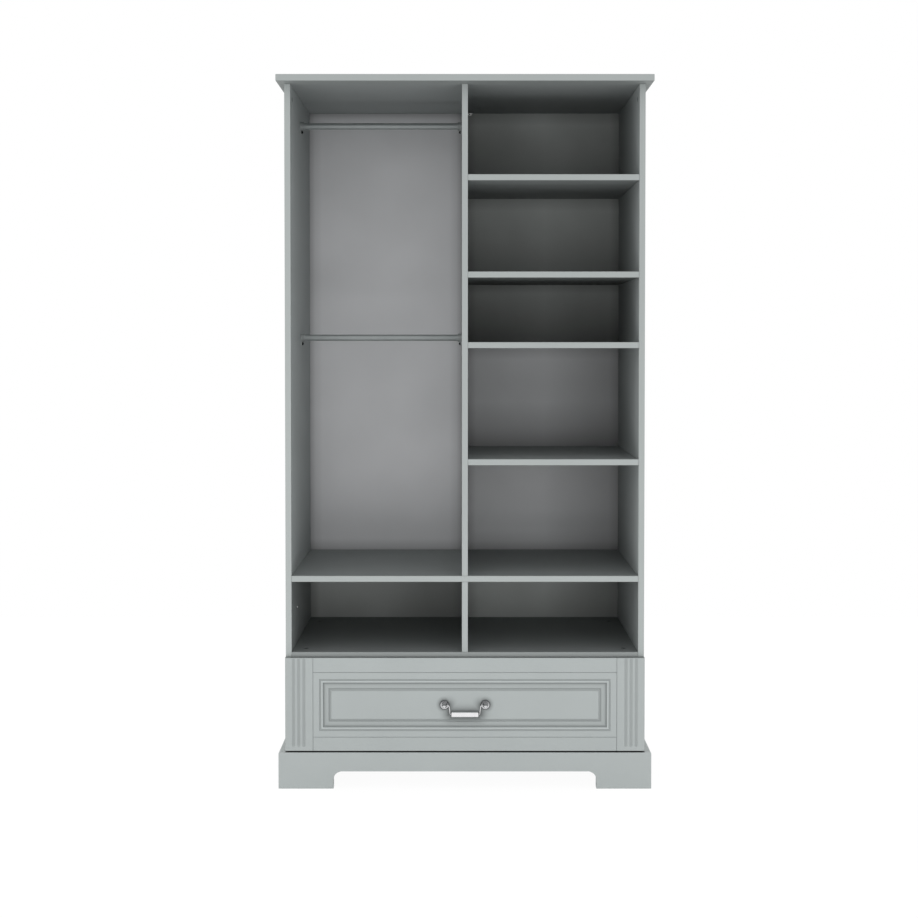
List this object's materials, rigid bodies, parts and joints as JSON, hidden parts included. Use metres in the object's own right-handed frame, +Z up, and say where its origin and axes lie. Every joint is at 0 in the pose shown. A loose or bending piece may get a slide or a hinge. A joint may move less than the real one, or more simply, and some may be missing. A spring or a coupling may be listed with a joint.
{
  "type": "open wardrobe with drawer",
  "caption": "Tall open wardrobe: a hanging space with rails beside fixed shelves, two low bays and a full-width drawer with a bail handle, on an arched plinth.",
  "frame": {"origin": "on the floor, under the middle of the wardrobe's box in X and Y", "axes": "+Z up, the open front faces -Y, +X to the right of someone who looks at the front"},
  "size_m": [1.006, 0.589, 1.917],
  "materials": {
    "grey_paint": "satin grey-green paint on board",
    "back_paint": "thin painted fibreboard",
    "grey_board": "unpainted grey board",
    "drawer_board": "light grey melamine",
    "chrome": "polished chrome",
    "bracket_metal": "grey die-cast",
    "zinc_steel": "zinc plated",
    "black_steel": "blackened steel",
    "black_plastic": "black polymer",
    "white_plastic": "white polymer"
  },
  "bodies": {
    "carcass": {"top_board": "grey_paint", "left_side_panel": "grey_paint", "right_side_panel": "grey_paint", "upper_divider": "grey_paint", "lower_divider": "grey_paint", "middle_shelf": "grey_paint", "bottom_board": "grey_paint", "base_board": "grey_paint", "shelf_1": "grey_paint", "shelf_2": "grey_paint", "shelf_3": "grey_paint", "shelf_4": "grey_paint", "back_panel": "back_paint", "lower_back_panel": "back_paint", "plinth_front": "grey_paint", "plinth_left": "grey_paint", "plinth_right": "grey_paint", "rear_rail": "grey_board", "corner_block_front_left": "grey_board", "corner_block_front_right": "grey_board", "corner_block_rear_left": "grey_board", "corner_block_rear_right": "grey_board", "glide_front_left": "black_plastic", "glide_front_right": "black_plastic", "glide_rear_left": "black_plastic", "glide_rear_right": "black_plastic", "upper_rail": "chrome", "lower_rail": "chrome", "upper_rail_left_bracket": "bracket_metal", "upper_rail_right_bracket": "bracket_metal", "lower_rail_left_bracket": "bracket_metal", "lower_rail_right_bracket": "bracket_metal", "upper_rail_left_screw": "black_steel", "upper_rail_right_screw": "black_steel", "lower_rail_left_screw": "black_steel", "lower_rail_right_screw": "black_steel", "left_side_panel_cam": "zinc_steel", "right_side_panel_cam": "zinc_steel", "bottom_cam_front_left": "zinc_steel", "bottom_cam_front_right": "zinc_steel", "bottom_cam_rear_left": "zinc_steel", "bottom_cam_rear_right": "zinc_steel", "wall_cap": "white_plastic", "angle_bracket": "white_plastic", "slide_outer_left": "zinc_steel", "slide_outer_right": "zinc_steel"},
    "slide_middle_left": {"slide_middle_left": "zinc_steel"},
    "slide_middle_right": {"slide_middle_right": "zinc_steel"},
    "drawer": {"drawer_front": "grey_paint", "drawer_left_side": "drawer_board", "drawer_right_side": "drawer_board", "drawer_back": "drawer_board", "drawer_bottom": "drawer_board", "slide_inner_left": "zinc_steel", "slide_inner_right": "zinc_steel", "handle_post_left": "chrome", "handle_post_right": "chrome"},
    "handle": {"handle_bail": "chrome", "handle_grip": "chrome"}
  },
  "joints": [
    {"name": "drawer_slide", "type": "slide", "parent": "carcass", "child": "drawer", "axis": [0, -1, 0], "range_m": [0, 0.4]},
    {"name": "left_slide_extension", "type": "slide", "parent": "carcass", "child": "slide_middle_left", "axis": [0, -1, 0], "range_m": [0, 0.2]},
    {"name": "right_slide_extension", "type": "slide", "parent": "carcass", "child": "slide_middle_right", "axis": [0, -1, 0], "range_m": [0, 0.2]},
    {"name": "handle_swing", "type": "hinge", "parent": "drawer", "child": "handle", "pos_m": [0, -0.2805, 0.2285], "axis": [-1, 0, 0], "range_deg": [-14, 100]}
  ],
  "couplings": [
    {"joint": "left_slide_extension", "follows": "drawer_slide", "ratio": 0.5},
    {"joint": "right_slide_extension", "follows": "drawer_slide", "ratio": 0.5}
  ]
}
